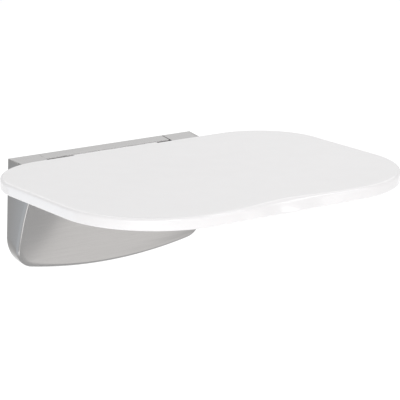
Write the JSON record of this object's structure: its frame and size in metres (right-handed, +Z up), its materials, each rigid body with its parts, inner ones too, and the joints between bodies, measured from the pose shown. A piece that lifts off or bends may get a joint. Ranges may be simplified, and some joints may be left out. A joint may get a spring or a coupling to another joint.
{
  "type": "fold-down shower seat",
  "caption": "Wall-mounted fold-down shower seat: a thin white moulded seat on a steel hinge, with a brushed steel wedge-shaped wall housing.",
  "frame": {"origin": "on the wall plane, at the middle of the four wall-screw holes", "axes": "+X along the wall to the right of a person facing it, +Y into the wall, +Z up; the seat reaches out to -Y"},
  "size_m": [0.43, 0.3845, 0.1559],
  "materials": {
    "white_seat": "satin-gloss moulded white",
    "white_panel": "matt moulded white",
    "brushed_steel": "fine horizontal brushing",
    "frame_steel": "pickled stainless bar",
    "fastener_steel": "bright stainless",
    "brass": "turned",
    "bearing_plastic": "natural acetal",
    "black_plastic": "matt black",
    "rubber": "matt black"
  },
  "bodies": {
    "wall_unit": {"cover_screws": "fastener_steel", "axle_nuts": "fastener_steel", "axle_washers": "fastener_steel", "cover_spacers": "fastener_steel", "hinge_axle": "frame_steel", "hinge_cheek_left": "frame_steel", "hinge_cheek_right": "frame_steel", "stop_bar": "frame_steel", "cover_brackets": "frame_steel", "wall_plate": "brushed_steel", "top_strip": "brushed_steel", "housing_cover": "brushed_steel", "stop_pads": "rubber", "fold_buffers": "rubber", "wall_seal": "rubber"},
    "seat": {"seat_shell": "white_seat", "seat_underside_panel": "white_panel", "seat_inserts": "brass", "seat_screws": "fastener_steel", "arm_left": "frame_steel", "arm_right": "frame_steel", "cross_bar_rear": "frame_steel", "cross_bar_front": "frame_steel", "hinge_tube": "frame_steel", "arm_bushes": "bearing_plastic", "arm_end_caps": "black_plastic", "neck_cover_upper": "white_seat", "neck_cover_lower": "white_seat", "neck_screws": "fastener_steel"}
  },
  "joints": [
    {"name": "seat_fold", "type": "hinge", "parent": "wall_unit", "child": "seat", "pos_m": [0, -0.033, 0.053], "axis": [-1, 0, 0], "range_deg": [0, 90]}
  ]
}
